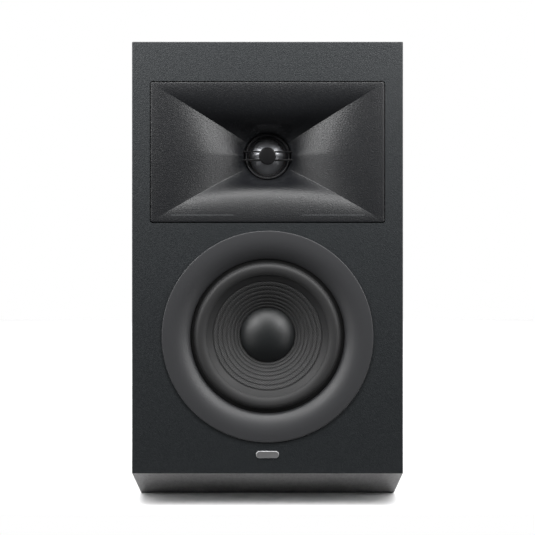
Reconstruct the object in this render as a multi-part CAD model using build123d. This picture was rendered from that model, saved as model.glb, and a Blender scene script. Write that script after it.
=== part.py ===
from build123d import *
import math
import os

# Two-way bookshelf speaker. Millimetres, +Z up, front towards -Y, origin under the middle of its box.
os.makedirs("parts", exist_ok=True)

# ---- cabinet ----
width = 190.0
height = 327.0
cabinet_depth = 238.0
trim_proud = 1.5
wall = 12.0
baffle_thickness = 18.0
edge_radius = 0.8
chin_run = 52.5
chin_drop = 24.5
front_y = -(cabinet_depth + trim_proud) / 2 + trim_proud
rear_y = front_y + cabinet_depth
inner_x = width / 2 - wall

# ---- waveguide, measured from its own centre and from the baffle's face ----
horn_z = height - 77.4
plate_width = 163.7
plate_height = 98.2
plate_thickness = 4.0
plate_gap = 0.6
plate_corner = 1.4
rim = 1.6
horn_depth = 24.0
throat_run = 6.0
throat_depth = 31.5
throat_radius = 17.2
ridge_angle = 31.5
side_fold = 0.215
fold_reach = 9.0
fold_end = 0.2
round_off = 14
throat_power = 8
lip_bow = 4.4
horn_wall = 3.0
horn_outside_start = 0.28
horn_outside_back = 1.4
horn_sections = 10
horn_hole_width = 138.0
horn_hole_height = 84.0
boss_radius = 3.6
boss_end = 10.0
boss_x = 74.5
boss_z = 45.3

# ---- name badge ----
badge_z = 37.8
badge_width = 16.0
badge_height = 5.0
badge_corner = 2.4
badge_proud = 0.8
badge_pin_x = 5.0
badge_pin_radius = 1.0

# ---- tweeter, depths from the baffle's face ----
dome_radius = 12.9
dome_base = throat_depth + 4.1
dome_height = 4.8
dome_skin = 0.4
face_radius = 36.0
face_lip = 15.9
face_lip_rise = 1.1
face_back = throat_depth + 3.1
motor_front = throat_depth + 5.1
tweeter_motor_radius = 26.0
tweeter_screw_circle = 31.0
disc_radius = 6.3
disc_front = throat_depth - 6.1
disc_back = throat_depth - 3.9
rail_spacing = 6.1
rail_height = 1.3
rail_reach = throat_radius + 1.5

# ---- woofer, depths from the baffle's face ----
woofer_z = height - 206.6
trim_radius = 74.1
trim_lip = 54.4
trim_flat = 72.0
trim_dish = 6.6
trim_sweep = 2.6
rebate_radius = 72.0
rebate_depth = 9.5
woofer_hole = 60.0
flange_radius = 70.0
flange_front = 6.5
flange_back = 9.0
woofer_screw_circle = 64.0
roll_outer = 53.3
roll_base = flange_front + 0.2
roll_crown = 47.8
crown_depth = 1.2
roll_slope = 0.62
crown_soft = 1.4
flank_slope = 1.32
flank_soft = 2.2
roll_skin = 0.8
lip_radius = 43.0
cone_rim = 45.0
cone_rim_depth = 2.8
cap_edge_depth = 19.5
cap_radius = 19.4
cap_height = 7.9
former_radius = 12.9
former_wall = 0.4
neck_depth = 26.0
rib_radii = [38.4, 35.3, 32.2, 29.2, 26.5, 24.0, 21.8]
rib_height = 0.6
rib_half = 0.9
cone_skin = 1.1
spider_depth = 36.0
gap_front = 46.0
gap_plate = 5.0
magnet_thickness = 16.0
back_plate = 5.0
motor_radius = 42.0

# ---- rear ----
port_z = 246.0
port_bore = 22.0
port_wall = 2.5
port_length = 112.0
port_flare = 10.0
port_flange = 37.0
flange_thickness = 3.0
cup_z = 84.0
cup_plate_width = 100.0
cup_plate_height = 78.0
cup_width = 66.0
cup_height = 46.0
cup_depth = 24.0
cup_wall = 2.5
cup_floor = 3.0
cup_screw_x = 42.0
cup_screw_z = 31.0
post_spacing = 19.05
stud_radius = 3.0
socket_radius = 2.05
socket_length = 14.0
knob_radius = 7.0
knob_length = 15.0
thread_gap = 0.05
joint_gap = 0.3
collar_end = cabinet_depth - 20.6
washer_start = collar_end + joint_gap
washer_thickness = 0.8
knob_start = washer_start + washer_thickness + joint_gap
stud_end = cabinet_depth - 3.0

# ---- crossover ----
board_width = 104.0
board_depth = 72.0
board_thickness = 1.6
board_y = 24.0
board_z = wall + 7.0
board_top = board_z + board_thickness
wire_radius = 1.1


def save(name, shape):
    """Write one sub-part to its own file."""
    solids = shape.solids()
    whole = solids[0] if len(solids) == 1 else Compound(children=list(solids))
    export_step(whole, f"parts/{name}.step")
    print(f"{name}: {len(solids)} solid(s), {sum(s.volume for s in solids):.0f} mm3")


def turned(outline, z):
    """Turn a closed outline of (radius, depth behind the baffle's face) points about the driver's axis."""
    face = make_face(Polyline(*[(r, front_y + d) for r, d in outline], close=True))
    return Pos(0, 0, z) * revolve(face, Axis.Y)


def turned_face(lines, z):
    """The same for an outline drawn with curves, already placed at its depth."""
    return Pos(0, 0, z) * revolve(make_face(lines), Axis.Y)


def rod(radius, depth, length, x, z):
    """A round bar along Y that starts at a depth behind the baffle's face."""
    place = Plane(origin=(x, front_y + depth, z), x_dir=(1, 0, 0), z_dir=(0, 1, 0))
    return place * extrude(Circle(radius), length)


def tube(outer, inner, depth, length, x, z):
    return rod(outer, depth, length, x, z) - rod(inner, depth - 1, length + 2, x, z)


def plate(size_x, size_z, corner, depth, length, x, z):
    """A flat plate with rounded corners that faces -Y."""
    place = Plane(origin=(x, front_y + depth, z), x_dir=(1, 0, 0), z_dir=(0, 1, 0))
    return place * extrude(RectangleRounded(size_x, size_z, corner), length)


def block(low, high):
    """A box between two opposite corners."""
    size = [b - a for a, b in zip(low, high)]
    middle = [(a + b) / 2 for a, b in zip(low, high)]
    return Pos(*middle) * Box(*size)


def join(shapes):
    """One compound of separate solids."""
    return Compound(children=[solid for shape in shapes for solid in shape.solids()])


# ---- cabinet panels, mitred where they meet ----


def chin_inside():
    """The two inner corners of the sloping chin, as (y, z)."""
    slope = math.hypot(chin_run, chin_drop)
    normal_y = chin_drop / slope
    normal_z = chin_run / slope
    reach = normal_z * chin_drop + wall
    upper = (front_y + baffle_thickness, (reach - normal_y * baffle_thickness) / normal_z)
    lower = (front_y + (reach - normal_z * wall) / normal_y, wall)
    return upper, lower


upper_corner, lower_corner = chin_inside()
outer_profile = [
    (front_y, chin_drop),
    (front_y + chin_run, 0),
    (rear_y, 0),
    (rear_y, height),
    (front_y, height),
]
inner_profile = [
    upper_corner,
    lower_corner,
    (rear_y, wall),
    (rear_y, height - wall),
    (front_y + baffle_thickness, height - wall),
]


def envelope():
    """The cabinet's outside with its slightly rounded edges."""
    side = make_face(Polyline(*[(-width / 2, y, z) for y, z in outer_profile], close=True))
    body = extrude(side, amount=width, dir=(1, 0, 0))
    return fillet(body.edges(), edge_radius)


def mitred(outside, inside):
    """A panel that tapers from its outer face to its inner face."""
    faces = [make_face(Polyline(*points, close=True)) for points in (outside, inside)]
    return loft(faces, ruled=True) & cabinet_outside


def strip(first):
    """The panel along one edge of the profile, as wide as the cabinet."""
    (y1, z1), (y2, z2) = outer_profile[first], outer_profile[(first + 1) % 5]
    (v1, w1), (v2, w2) = inner_profile[first], inner_profile[(first + 1) % 5]
    half = width / 2
    outside = [(-half, y1, z1), (half, y1, z1), (half, y2, z2), (-half, y2, z2)]
    inside = [(-inner_x, v1, w1), (inner_x, v1, w1), (inner_x, v2, w2), (-inner_x, v2, w2)]
    return mitred(outside, inside)


def side_panel(sign):
    outside = [(sign * width / 2, y, z) for y, z in outer_profile]
    inside = [(sign * inner_x, y, z) for y, z in inner_profile]
    return mitred(outside, inside)


def boss_places():
    """Where the waveguide is screwed on from behind, as (x, z)."""
    return [(x, horn_z + z) for x in (-boss_x, 0, boss_x) for z in (-boss_z, boss_z)]


def front_baffle():
    board = strip(4)
    wide = plate_width + 2 * plate_gap
    tall = plate_height + 2 * plate_gap
    board -= plate(wide, tall, plate_corner + plate_gap, -1, plate_thickness + 1, 0, horn_z)
    board -= plate(horn_hole_width, horn_hole_height, 8, 0, 30, 0, horn_z)
    for x, z in boss_places():
        board -= rod(boss_radius + 0.4, 0, boss_end + 0.5, x, z)
        board -= rod(1.8, 0, 30, x, z)
    board -= rod(rebate_radius, -1, rebate_depth + 1, 0, woofer_z)
    board -= rod(woofer_hole, -1, 40, 0, woofer_z)
    for x, z in around(woofer_screw_circle, 8, 22.5, woofer_z):
        board -= rod(1.95, 5, 12.7, x, z)
    for x in (-badge_pin_x, badge_pin_x):
        board -= rod(badge_pin_radius + 0.05, -1, 4.1, x, badge_z)
    return board


def around(radius, count, start, z):
    """Evenly spaced places on a circle about a driver's axis, as (x, z)."""
    turns = [math.radians(start + 360 * k / count) for k in range(count)]
    return [(radius * math.cos(a), z + radius * math.sin(a)) for a in turns]


def name_badge():
    """A blank oval badge on two pins."""
    badge = plate(badge_width, badge_height, badge_corner, -badge_proud, badge_proud, 0, badge_z)
    badge = fillet(badge.edges().group_by(Axis.Y)[0], 0.35)
    for x in (-badge_pin_x, badge_pin_x):
        badge += rod(badge_pin_radius, 0, 3, x, badge_z)
    return badge


def rear_panel():
    board = block((-inner_x, rear_y - wall, wall), (inner_x, rear_y, height - wall))
    rear_depth = cabinet_depth
    board -= rod(port_flange + 0.3, rear_depth - flange_thickness, 9, 0, port_z)
    board -= rod(port_bore + port_wall + 0.3, rear_depth - 30, 40, 0, port_z)
    board -= rod(port_bore + port_flare + 0.3, rear_depth - flange_thickness - 8, 20, 0, port_z)
    recess = plate(cup_plate_width + 0.6, cup_plate_height + 0.6, 10.3, rear_depth - 3, 9, 0, cup_z)
    opening = plate(cup_width + 6, cup_height + 6, 9, rear_depth - 30, 40, 0, cup_z)
    board = board - recess - opening
    for x, z in cup_screw_places():
        board -= rod(1.55, rear_depth - 10, 20, x, z)
    return board


def shelf_brace():
    """A windowed shelf between the drivers that ties the side panels together."""
    low = (-inner_x, front_y + baffle_thickness, 184)
    high = (inner_x, rear_y - wall, 194)
    board = block(low, high)
    for y in (-62, 62):
        window = Rectangle(inner_x * 2 - 50, 74)
        window = extrude(fillet(window.vertices(), 15), 40)
        board -= Pos(0, y + 3, 170) * window
    return board


def damping_wadding():
    """Polyester wadding along the side walls, above and below the shelf."""
    pads = []
    for sign in (-1, 1):
        for low_z, high_z in ((46, 180), (198, 311)):
            pad = Box(16, 130, high_z - low_z)
            pad = fillet(pad.edges(), 5)
            pads.append(Pos(sign * (inner_x - 8.2), 25, (low_z + high_z) / 2) * pad)
    return join(pads)


# ---- waveguide and tweeter ----


def flare_depth(share):
    """The flare's depth at a share of its way from the mouth to the throat, steepest near the throat."""
    return horn_depth * share**2 + throat_run * share**throat_power


def horn_section(share, depth, grow):
    """One cross-section of the flare: straight at the mouth, drawn inward, then round at the throat."""
    angle = math.radians(ridge_angle)
    end_x = throat_radius * math.cos(angle)
    end_z = throat_radius * math.sin(angle)
    corner_x = (plate_width / 2 - rim) * (1 - share) + end_x * share + grow
    corner_z = (plate_height / 2 - rim) * (1 - share) + end_z * share + grow
    bow = 16 * share**2 * (1 - share) ** 2
    top = corner_z + (throat_radius - end_z) * share**2 - lip_bow * bow
    opening = min(1, 2 * share)
    rounded = share**round_off
    fold = side_fold * opening**2 * (3 - 2 * opening) * (1 - rounded)
    soft = fold_reach * (1 - share) + fold_end
    side = corner_x + (throat_radius - end_x) * rounded - fold * (math.hypot(corner_z, soft) - soft)
    if share == 0:
        line = Polyline(
            (-corner_x, -corner_z),
            (corner_x, -corner_z),
            (corner_x, corner_z),
            (-corner_x, corner_z),
            close=True,
        )
    else:
        line = Curve() + [
            ThreePointArc((-corner_x, -corner_z), (0, -top), (corner_x, -corner_z)),
            ThreePointArc((corner_x, -corner_z), (side, 0), (corner_x, corner_z)),
            ThreePointArc((corner_x, corner_z), (0, top), (-corner_x, corner_z)),
            ThreePointArc((-corner_x, corner_z), (-side, 0), (-corner_x, -corner_z)),
        ]
    place = Plane(origin=(0, front_y + depth, horn_z), x_dir=(1, 0, 0), z_dir=(0, 1, 0))
    return place * make_face(line)


def flare(first, grow=0.0, back=0.0):
    """The air inside the horn's flare, or its outside: wider by grow and moved back."""
    shares = [first + (1 - first) * k / (horn_sections - 1) for k in range(horn_sections)]
    return loft([horn_section(s, flare_depth(s) + back, grow) for s in shares])


def waveguide():
    flange = plate(plate_width, plate_height, plate_corner, 0, plate_thickness, 0, horn_z)
    flange = chamfer(flange.edges().group_by(Axis.Y)[0], 0.4)
    shell = flange + flare(horn_outside_start, horn_wall, horn_outside_back)
    flare_end = flare_depth(1)
    shell += rod(throat_radius + horn_wall, flare_end - 1, throat_depth - flare_end + 1, 0, horn_z)
    shell += rod(face_radius, throat_depth - 4.5, 4.5, 0, horn_z)
    for x, z in boss_places():
        shell += rod(boss_radius, plate_thickness - 1, boss_end - plate_thickness + 1, x, z)
    shell -= flare(0)
    shell -= rod(throat_radius, flare_end, 20, 0, horn_z)
    for x, z in boss_places():
        shell -= rod(1.55, 2.6, 20, x, z)
    for x, z in around(tweeter_screw_circle, 3, 90, horn_z):
        shell -= rod(1.35, throat_depth - 3.6, 10, x, z)
    for x in (-rail_reach, rail_reach):
        shell -= block(
            (x - 1.5, front_y + disc_front + 0.5, horn_z - rail_spacing / 2 - 0.8),
            (x + 1.5, front_y + disc_back + 0.05, horn_z + rail_spacing / 2 + 0.8),
        )
    return shell


def tweeter_bridge():
    """A small disc in front of the dome, carried by two rails across the throat."""
    disc = rod(disc_radius, disc_front, disc_back - disc_front, 0, horn_z)
    disc = fillet(disc.edges().group_by(Axis.Y)[0], 1.2)
    low_y = front_y + disc_front + 0.6
    high_y = front_y + disc_back
    for z in (-rail_spacing / 2, rail_spacing / 2):
        low = (-rail_reach - 1.2, low_y, horn_z + z - rail_height / 2)
        high = (rail_reach + 1.2, high_y, horn_z + z + rail_height / 2)
        disc += block(low, high)
    for x in (-rail_reach, rail_reach):
        low = (x - 1.2, low_y, horn_z - rail_spacing / 2 - 0.65)
        high = (x + 1.2, high_y, horn_z + rail_spacing / 2 + 0.65)
        disc += block(low, high)
    return disc


def tweeter_faceplate():
    outline = [
        (face_radius, throat_depth),
        (face_lip + 0.9, throat_depth),
        (face_lip + 0.6, throat_depth - 0.7),
        (face_lip, throat_depth - face_lip_rise),
        (face_lip - 0.6, throat_depth - 0.7),
        (face_lip - 0.9, throat_depth),
        (14.3, face_back),
        (18.0, face_back),
        (18.0, motor_front),
        (tweeter_motor_radius, motor_front),
        (tweeter_motor_radius, face_back),
        (face_radius, face_back),
    ]
    shell = turned(outline, horn_z)
    for x, z in around(tweeter_screw_circle, 3, 90, horn_z):
        shell -= rod(1.6, throat_depth - 5, 20, x, z)
    return shell


def tweeter_surround():
    """The dome's soft suspension: a small roll and the rim glued behind the faceplate."""
    outline = [
        (dome_radius + 0.1, dome_base - 0.4),
        (13.4, face_back + 0.15),
        (14.0, face_back + 0.15),
        (14.5, face_back + 0.02),
        (17.6, face_back + 0.02),
        (17.6, face_back + 0.42),
        (14.7, face_back + 0.42),
        (14.0, dome_base - 0.4),
        (13.4, dome_base - 0.4),
        (dome_radius + 0.1, dome_base),
    ]
    return turned(outline, horn_z)


def cap_line(radius, height_of_cap, base, lift):
    """A round cap's outline: base radius, and how far its middle stands in front of its base."""
    top = (0, front_y + base - height_of_cap - lift)
    ball = (radius**2 + height_of_cap**2) / (2 * height_of_cap)
    middle_r = radius * 0.55
    fall = ball - math.sqrt(ball**2 - middle_r**2)
    return ThreePointArc((radius, front_y + base - lift), (middle_r, top[1] + fall), top)


def cap(radius, height_of_cap, base, skin, z):
    """A thin domed cap of constant skin along its axis."""
    front = cap_line(radius, height_of_cap, base, skin)
    back = cap_line(radius, height_of_cap, base, 0)
    lines = Curve() + [front, back, Line(front @ 0, back @ 0), Line(front @ 1, back @ 1)]
    return turned_face(lines, z)


def tweeter_dome():
    return cap(dome_radius, dome_height, dome_base, dome_skin, horn_z)


def tweeter_voice_coil():
    former = tube(dome_radius - 0.1, dome_radius - 0.4, dome_base, 5.4, 0, horn_z)
    return former + tube(dome_radius + 0.2, dome_radius - 0.1, dome_base + 1.6, 2.6, 0, horn_z)


def tweeter_top_plate():
    return tube(tweeter_motor_radius, dome_radius + 0.6, motor_front, 3.0, 0, horn_z)


def tweeter_magnet():
    return tube(tweeter_motor_radius, 17.0, motor_front + 3, 8.0, 0, horn_z)


def tweeter_yoke():
    disc = rod(tweeter_motor_radius, motor_front + 11, 4.0, 0, horn_z)
    pole = rod(dome_radius - 0.9, motor_front + 0.4, 11.0, 0, horn_z)
    return disc + pole - rod(3.0, motor_front, 20, 0, horn_z)


def tweeter_rear_chamber():
    start = motor_front + 15
    cup = rod(21.0, start, 15.0, 0, horn_z)
    cup = fillet(cup.edges().group_by(Axis.Y)[-1], 3)
    return cup - rod(19.0, start - 1, 14.0, 0, horn_z)


def tweeter_terminals():
    """Two solder tabs on the back of the faceplate."""
    tabs = []
    for x in (-4, 4):
        low_z = horn_z - face_radius + 1
        tabs.append(
            block((x - 1.6, front_y + face_back, low_z), (x + 1.6, front_y + face_back + 0.8, low_z + 5))
            + block((x - 1.6, front_y + face_back, low_z), (x + 1.6, front_y + face_back + 7, low_z + 0.8))
        )
    return join(tabs)


def screws(places, shaft, head, head_depth, head_height, tip_depth):
    """Pan-head screws with a cross recess. A tip in front of its head is driven in from behind."""
    group = []
    for x, z in places:
        inward = tip_depth > head_depth
        head_start = head_depth - head_height if inward else head_depth
        body = rod(head, head_start, head_height, x, z)
        outer_end = body.edges().group_by(Axis.Y)[0 if inward else -1]
        body = fillet(outer_end, head_height * 0.45)
        low, high = sorted((head_depth, tip_depth))
        body += rod(shaft, low, high - low, x, z)
        slot_low = head_start - 0.1 if inward else head_start + head_height * 0.55
        slot_long = head_height * 0.45 + 0.1
        for wide, tall in ((head * 1.1, head * 0.24), (head * 0.24, head * 1.1)):
            y = front_y + slot_low
            body -= block((x - wide / 2, y, z - tall / 2), (x + wide / 2, y + slot_long, z + tall / 2))
        group.append(body)
    return join(group)


def waveguide_screws():
    return screws(boss_places(), 1.5, 3.2, baffle_thickness, 2.2, 3.2)


def tweeter_screws():
    return screws(around(tweeter_screw_circle, 3, 90, horn_z), 1.3, 2.6, face_back, 1.8, throat_depth - 3.1)


# ---- woofer ----


def trim_surface(radius):
    """Depth of the trim ring's dished front at a radius."""
    share = max(0, trim_flat - radius) / (trim_flat - trim_lip)
    return -trim_proud + trim_dish * share**trim_sweep


def woofer_trim_ring():
    steps = 8
    radii = [trim_flat - (trim_flat - trim_lip) * k / steps for k in range(steps + 1)]
    dish = Spline(*[(r, front_y + trim_surface(r)) for r in radii])
    foot = front_y + 5.5
    back = Polyline(
        dish @ 1,
        (trim_lip, foot),
        (57.6, foot),
        (57.6, front_y + 4.9),
        (62, front_y + 2.9),
        (69.8, front_y + 1.0),
        (69.8, foot),
        (71.6, foot),
        (71.6, front_y),
        (trim_radius, front_y),
        (trim_radius, front_y - 0.8),
    )
    shoulder = ThreePointArc(
        back @ 1, (trim_radius - 0.2, front_y - trim_proud + 0.2), (trim_radius - 0.7, front_y - trim_proud)
    )
    lines = Curve() + [dish, back, shoulder, Line(shoulder @ 1, dish @ 0)]
    return turned_face(lines, woofer_z)


def woofer_basket():
    """Pressed frame: a flange, sloping legs, a ledge for the spider and a seat for the motor."""
    skin = 2.2
    outline = [
        (53.0, flange_front + 1.0),
        (57.2, flange_front + 1.0),
        (57.2, flange_front),
        (flange_radius, flange_front),
        (flange_radius, flange_back),
        (58.6, flange_back),
        (50.0, spider_depth + skin),
        (36.0, spider_depth + skin),
        (34.0, gap_front - 2.2),
        (38.0, gap_front - 2.2),
        (38.0, gap_front),
        (16.0, gap_front),
        (16.0, gap_front - 2.2),
        (31.5, gap_front - 2.2),
        (33.5, spider_depth),
        (48.0, spider_depth),
        (56.0, flange_back),
        (53.0, flange_back),
    ]
    frame = turned(outline, woofer_z)
    for k in range(6):
        window = block((16, front_y + 13, woofer_z - 19), (90, front_y + 32.5, woofer_z + 19))
        frame -= window.rotate(Axis((0, 0, woofer_z), (0, 1, 0)), 30 + 60 * k)
    for x, z in around(woofer_screw_circle, 8, 22.5, woofer_z):
        frame -= rod(2.2, 0, 20, x, z)
    return frame


def woofer_gasket():
    return tube(flange_radius, 60.6, flange_back, rebate_depth - flange_back, 0, woofer_z) - join(
        [rod(2.2, 0, 20, x, z) for x, z in around(woofer_screw_circle, 8, 22.5, woofer_z)]
    )


def roll_front(radius):
    """Depth of the surround's front: a steep outer flank, a soft crown and a slope down to the cone."""
    outside = radius > roll_crown
    slope, soft = (flank_slope, flank_soft) if outside else (roll_slope, crown_soft)
    return crown_depth + math.hypot(slope * (radius - roll_crown), soft) - soft


def cone_depth(radius):
    """Depth of the cone's front face at a radius."""
    share = (cone_rim - radius) / (cone_rim - cap_radius)
    return cone_rim_depth + (cap_edge_depth - cone_rim_depth) * share**1.08


def woofer_surround():
    """Rolled rubber edge with a flat rim glued to the basket and a lip glued over the cone's edge."""
    flank = [roll_outer - (roll_outer - roll_crown) * k / 6 for k in range(6)]
    crown = [roll_crown - (roll_crown - cone_rim) * k / 6 for k in range(5)]
    slope = [roll_crown - (roll_crown - lip_radius) * k / 6 for k in range(4, 7)]
    front = Spline(*[(r, front_y + roll_front(r)) for r in flank + crown[:4] + slope])
    under = Spline(*[(r, front_y + roll_front(r) + roll_skin) for r in flank + crown])
    base = front_y + roll_base
    rim_path = Polyline(
        front @ 0,
        (roll_outer + 0.3, base),
        (57.0, base),
        (57.0, base + roll_skin),
        (roll_outer + 0.3, base + roll_skin),
        under @ 0,
    )
    lip = Polyline(
        under @ 1,
        (cone_rim + 0.2, front_y + cone_depth(cone_rim) - 0.2),
        (lip_radius, front_y + cone_depth(lip_radius) - 0.05),
        front @ 1,
    )
    return turned_face(Curve() + [front, rim_path, under, lip], woofer_z)


def woofer_cone():
    """Ribbed cone, glued to the surround at its rim and to the coil's former at its neck."""
    front = [(r, cone_depth(r)) for r in (cone_rim, lip_radius)]
    for r in rib_radii:
        front.append((r + rib_half, cone_depth(r + rib_half)))
        front.append((r, cone_depth(r) + rib_height))
        front.append((r - rib_half, cone_depth(r - rib_half)))
    front.append((cap_radius, cap_edge_depth + 0.05))
    front.append((former_radius + 3.6, cap_edge_depth + 1.6))
    front.append((former_radius, neck_depth - 2.2))
    back = [(r, d + cone_skin) for r, d in reversed(front)]
    back[0] = (former_radius, neck_depth)
    return turned(front + back, woofer_z)


def woofer_dust_cap():
    """Domed cap glued over the cone's neck."""
    return cap(cap_radius, cap_height, cap_edge_depth, 0.9, woofer_z)


def woofer_coil_former():
    start = neck_depth - 2.2
    return tube(former_radius, former_radius - former_wall, start, gap_front + 9.5 - start, 0, woofer_z)


def woofer_voice_coil():
    return tube(former_radius + 0.5, former_radius, gap_front - 3.5, 12.0, 0, woofer_z)


def woofer_spider():
    """Corrugated disc that centres the coil."""
    waves = 9
    inner = former_radius + 0.1
    step = (47.0 - inner) / waves
    front = [(inner + step * k, spider_depth - 2.0 - (k % 2) * 1.8) for k in range(waves)]
    front.append((47.0, spider_depth - 0.6))
    back = [(r, d + 0.6) for r, d in reversed(front)]
    return turned(front + back, woofer_z)


def woofer_top_plate():
    return tube(38.5, former_radius + 1.1, gap_front, gap_plate, 0, woofer_z)


def woofer_magnet():
    ring = tube(motor_radius, 21.0, gap_front + gap_plate, magnet_thickness, 0, woofer_z)
    return chamfer(ring.edges().filter_by(GeomType.CIRCLE).sort_by(SortBy.RADIUS)[-2:], 0.8)


def woofer_yoke():
    start = gap_front + gap_plate + magnet_thickness
    disc = rod(39.5, start, back_plate, 0, woofer_z)
    pole = rod(former_radius - former_wall - 0.5, gap_front - 0.5, start - gap_front + 0.5, 0, woofer_z)
    return disc + pole - rod(5.0, gap_front - 2, 60, 0, woofer_z)


def woofer_terminal_strip():
    """Insulating strip with two tabs on the basket's ledge."""
    z = woofer_z + 49.2
    y = front_y + spider_depth + 2.3
    strip_body = block((-9, y, z - 5), (9, y + 1.6, z + 5))
    for x in (-5, 5):
        strip_body += block((x - 2.4, y + 1.6, z - 0.4), (x + 2.4, y + 8, z + 0.4))
    return strip_body + block((-6, y - 0.05, z - 5), (6, y, z - 1))


def woofer_screws():
    places = around(woofer_screw_circle, 8, 22.5, woofer_z)
    return screws(places, 1.9, 3.6, flange_front, 2.4, 17.4)


# ---- rear fittings ----


def port_tube():
    """Flared reflex port, pushed in from the rear."""
    end = rear_y
    start = rear_y - port_length
    inner = port_bore
    outer = port_bore + port_wall
    rear_arc = ThreePointArc(
        (inner + port_flare, end),
        (inner + port_flare * (1 - math.sin(math.pi / 4)), end - port_flare * (1 - math.cos(math.pi / 4))),
        (inner, end - port_flare),
    )
    lip = 4.0
    front_arc = ThreePointArc(
        (inner, start + lip),
        (inner + lip * (1 - math.cos(math.pi / 4)), start + lip * (1 - math.sin(math.pi / 4))),
        (inner + lip, start),
    )
    outside = Polyline(
        front_arc @ 1,
        (inner + lip + 1.2, start),
        (inner + lip + 1.2, start + 1.6),
        (outer, start + lip + 2),
        (outer, end - port_flare - 1),
        (inner + port_flare, end - flange_thickness),
        (port_flange, end - flange_thickness),
        (port_flange, end - 0.6),
        (port_flange - 0.6, end),
        rear_arc @ 0,
    )
    lines = Curve() + [rear_arc, Line(rear_arc @ 1, front_arc @ 0), front_arc, outside]
    return turned_face(lines, port_z)


def cup_screw_places():
    return [(x, cup_z + z) for x in (-cup_screw_x, cup_screw_x) for z in (-cup_screw_z, cup_screw_z)]


def post_places():
    """The two binding posts, the positive one on the left as seen from behind."""
    return {"positive": post_spacing / 2, "negative": -post_spacing / 2}


def terminal_cup():
    """Moulded recess that carries the binding posts."""
    rear_depth = cabinet_depth
    face = plate(cup_plate_width, cup_plate_height, 10, rear_depth - 3, 3, 0, cup_z)
    face = fillet(face.edges().group_by(Axis.Y)[-1], 0.8)
    box_depth = rear_depth - cup_depth - cup_floor
    outer = plate(cup_width + 2 * cup_wall, cup_height + 2 * cup_wall, 8, box_depth, cup_depth, 0, cup_z)
    cup = face + outer
    hollow = plate(cup_width, cup_height, 6, rear_depth - cup_depth, cup_depth + 5, 0, cup_z)
    hollow = fillet(hollow.edges().group_by(Axis.Y)[0], 2.5)
    cup -= hollow
    for x, z in cup_screw_places():
        cup -= rod(1.9, rear_depth - 9, 20, x, z)
        cup -= rod(3.7, rear_depth - 1.2, 9, x, z)
    for x in post_places().values():
        cup -= rod(stud_radius + 0.1, box_depth - 5, cup_depth, x, cup_z)
    return cup


def terminal_cup_screws():
    return screws(cup_screw_places(), 1.5, 3.3, cabinet_depth - 1.2, 1.1, cabinet_depth - 9.5)


def post_collars():
    """Insulating collars that hold the studs off the cup's floor."""
    floor = cabinet_depth - cup_depth
    rings = []
    for x in post_places().values():
        collar = rod(7.2, floor, collar_end - floor, x, cup_z)
        collar = fillet(collar.edges().group_by(Axis.Y)[-1], 0.5)
        rings.append(collar - rod(stud_radius + 0.1, floor - 1, 20, x, cup_z))
    return join(rings)


def binding_post(x):
    """Threaded stud with a 4 mm socket in its end, a cross hole for bare wire and a solder tag."""
    start = cabinet_depth - cup_depth - cup_floor - 9
    stud = rod(stud_radius, start, stud_end - start, x, cup_z)
    stud = chamfer(stud.edges().group_by(Axis.Y)[-1], 0.3)
    stud -= rod(socket_radius, stud_end - socket_length, socket_length + 1, x, cup_z)
    wire_hole = Cylinder(1.2, 20)
    stud -= Pos(x, front_y + cabinet_depth - 18.7, cup_z) * wire_hole
    tag_y = front_y + start
    tag = block((x - 1.8, tag_y - 6, cup_z - 0.4), (x + 1.8, tag_y, cup_z + 0.4))
    return stud + tag


def post_nuts():
    """Hexagon nuts inside the cabinet."""
    nuts = []
    for x in post_places().values():
        place = Plane(
            origin=(x, rear_y - cup_depth - cup_floor, cup_z), x_dir=(1, 0, 0), z_dir=(0, -1, 0)
        )
        nut = place * extrude(RegularPolygon(5.2, 6), 3.2)
        nuts.append(nut - rod(stud_radius + 0.05, cabinet_depth - 60, 60, x, cup_z))
    return join(nuts)


def clamp_washer(x):
    return tube(6.0, stud_radius + thread_gap, washer_start, washer_thickness, x, cup_z)


def binding_knob(x):
    """Fluted knob with an open end for the plug."""
    knob = rod(knob_radius, knob_start, knob_length, x, cup_z)
    knob = fillet(knob.edges().group_by(Axis.Y)[-1], 0.8)
    for k in range(12):
        angle = math.radians(30 * k)
        reach = knob_radius + 0.55
        px = x + reach * math.cos(angle)
        pz = cup_z + reach * math.sin(angle)
        knob -= rod(1.1, knob_start + 2.2, 10.2, px, pz)
    knob -= rod(stud_radius + thread_gap, knob_start - 1, 30, x, cup_z)
    return knob


# ---- crossover ----


def crossover_board():
    low = (-board_width / 2, board_y - board_depth / 2, board_z)
    high = (board_width / 2, board_y + board_depth / 2, board_top)
    board = block(low, high)
    for x, y in standoff_places():
        board -= Pos(x, y, board_z) * Cylinder(1.7, 20)
    return board


def standoff_places():
    xs = (-board_width / 2 + 5, board_width / 2 - 5)
    ys = (board_y - board_depth / 2 + 5, board_y + board_depth / 2 - 5)
    return [(x, y) for x in xs for y in ys]


def crossover_standoffs():
    """Spacers with their screws, which hold the board off the bottom panel."""
    posts = []
    for x, y in standoff_places():
        post = Pos(x, y, (wall + board_z) / 2) * Cylinder(3.5, board_z - wall)
        post += Pos(x, y, (wall + board_top + 2) / 2) * Cylinder(1.5, board_top + 2 - wall)
        post += Pos(x, y, board_top + 1) * Cylinder(2.8, 2)
        posts.append(post)
    return join(posts)


def coil(radius, bore, length, x, y):
    """An upright air-cored coil with rounded windings between two thin cheeks."""
    middle = Pos(x, y, board_top + length / 2)
    winding = middle * fillet(Cylinder(radius, length - 3).edges(), 1.5)
    for end in (-1, 1):
        winding += middle * Pos(0, 0, end * (length / 2 - 0.75)) * Cylinder(radius * 0.96, 1.5)
    return winding - middle * Cylinder(bore, length + 2)


def woofer_inductor():
    return coil(19.0, 7.0, 20.0, -28, board_y + 8)


def tweeter_inductor():
    return coil(12.5, 5.0, 15.0, 30, board_y + 17)


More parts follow.
